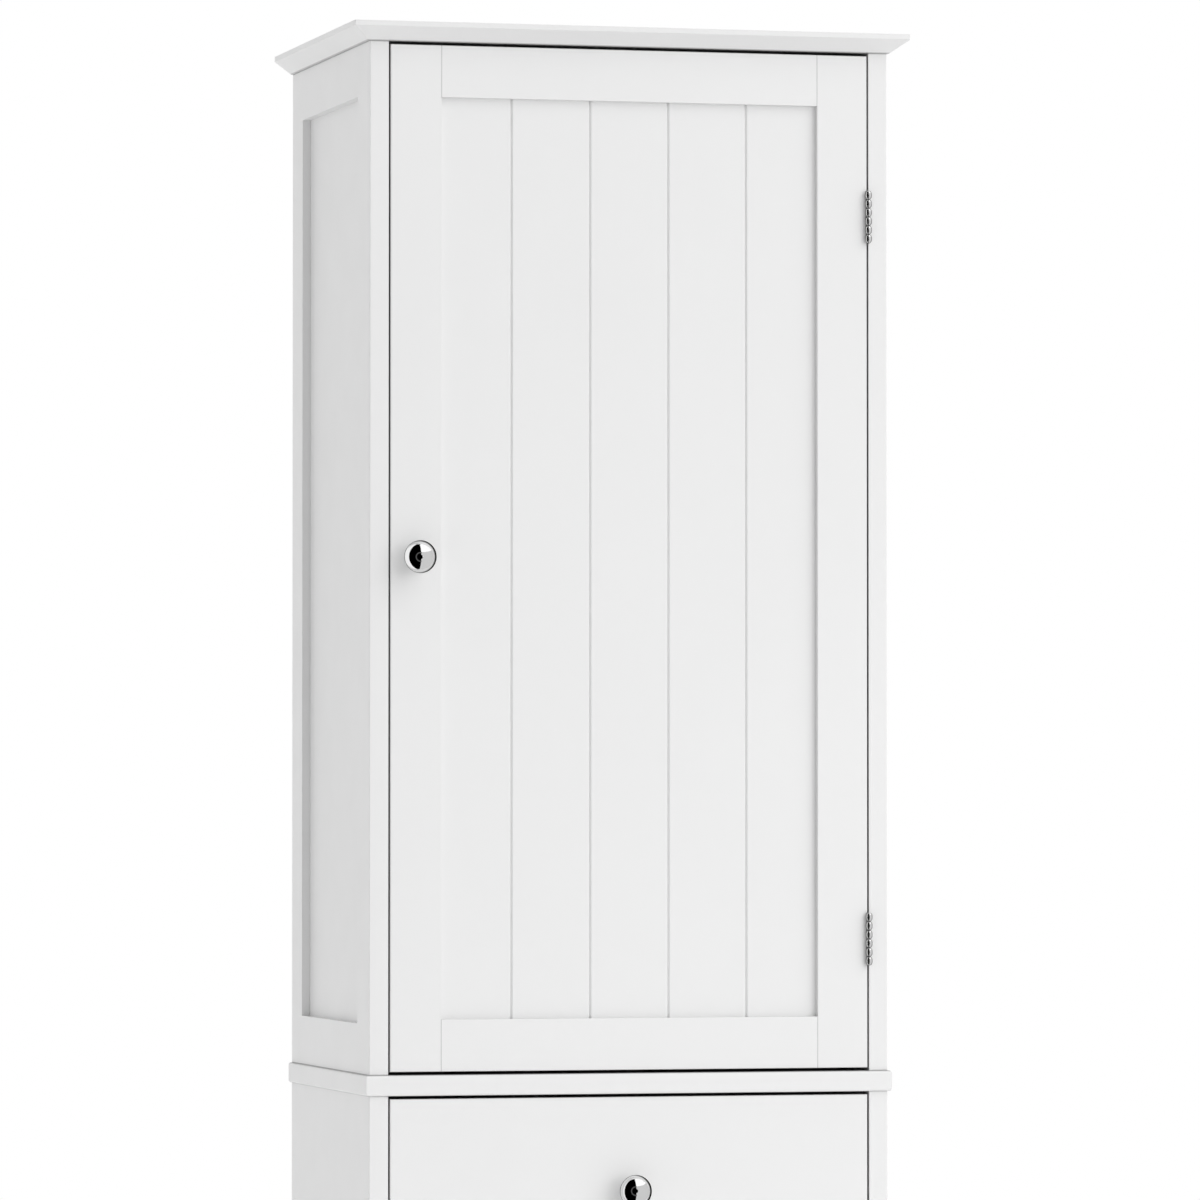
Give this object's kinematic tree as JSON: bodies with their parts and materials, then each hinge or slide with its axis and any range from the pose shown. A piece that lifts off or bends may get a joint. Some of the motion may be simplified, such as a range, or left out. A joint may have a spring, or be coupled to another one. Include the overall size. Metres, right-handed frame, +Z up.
{
  "type": "tall bathroom cabinet",
  "caption": "Tall narrow white bathroom cabinet with beadboard doors above and below a drawer, a bevelled crown, round metal knobs and an arched base.",
  "frame": {"origin": "on the floor, at the centre of the bounding box's base", "axes": "+Z up, +X to the right of someone who faces the doors, +Y from the front to the back, so the doors face -Y"},
  "size_m": [0.444, 0.307, 1.7],
  "materials": {
    "white_paint": "satin white paint on smooth board",
    "white_board": "matt white foil on board",
    "white_hardboard": "matt white coated hardboard",
    "bare_hardwood": "planed, waxed",
    "chrome": "polished",
    "nickel": "nickel plated, satin",
    "zinc": "bright zinc plated",
    "catch_plastic": "moulded"
  },
  "bodies": {
    "carcass": {"back_panel": "white_hardboard", "bottom_board": "white_paint", "crown_board": "white_paint", "door_catches": "catch_plastic", "drawer_divider": "white_paint", "drawer_runners": "bare_hardwood", "frame_hinge_leaves": "nickel", "front_apron": "white_paint", "hinge_pins": "nickel", "lower_left_bottom_rail": "white_paint", "lower_left_front_post": "white_paint", "lower_left_panel": "white_paint", "lower_left_rear_post": "white_paint", "lower_left_top_rail": "white_paint", "lower_right_bottom_rail": "white_paint", "lower_right_front_post": "white_paint", "lower_right_panel": "white_paint", "lower_right_rear_post": "white_paint", "lower_right_top_rail": "white_paint", "lower_shelf": "white_paint", "shelf_pins": "zinc", "upper_high_shelf": "white_paint", "upper_left_bottom_rail": "white_paint", "upper_left_front_post": "white_paint", "upper_left_panel": "white_paint", "upper_left_rear_post": "white_paint", "upper_left_top_rail": "white_paint", "upper_low_shelf": "white_paint", "upper_right_bottom_rail": "white_paint", "upper_right_front_post": "white_paint", "upper_right_panel": "white_paint", "upper_right_rear_post": "white_paint", "upper_right_top_rail": "white_paint", "waist_board": "white_paint", "wall_fixing_rail": "white_paint"},
    "upper_door": {"upper_door_beadboard_panel": "white_paint", "upper_door_bottom_rail": "white_paint", "upper_door_catch_plate": "zinc", "upper_door_hinge_leaves": "nickel", "upper_door_hinge_stile": "white_paint", "upper_door_knob": "chrome", "upper_door_latch_stile": "white_paint", "upper_door_top_rail": "white_paint"},
    "lower_door": {"lower_door_beadboard_panel": "white_paint", "lower_door_bottom_rail": "white_paint", "lower_door_catch_plate": "zinc", "lower_door_hinge_leaves": "nickel", "lower_door_hinge_stile": "white_paint", "lower_door_knob": "chrome", "lower_door_latch_stile": "white_paint", "lower_door_top_rail": "white_paint"},
    "drawer": {"drawer_front": "white_paint", "drawer_left_side": "white_board", "drawer_right_side": "white_board", "drawer_back": "white_board", "drawer_bottom": "white_hardboard", "drawer_knob": "chrome"}
  },
  "joints": [
    {"name": "upper_door_swing", "type": "hinge", "parent": "carcass", "child": "upper_door", "pos_m": [0.19125, -0.13145, 1.289], "axis": [0, 0, 1], "range_deg": [0, 180]},
    {"name": "lower_door_swing", "type": "hinge", "parent": "carcass", "child": "lower_door", "pos_m": [0.19125, -0.13145, 0.412], "axis": [0, 0, 1], "range_deg": [0, 180]},
    {"name": "drawer_slide", "type": "slide", "parent": "carcass", "child": "drawer", "axis": [0, -1, 0], "range_m": [0, 0.17]}
  ]
}
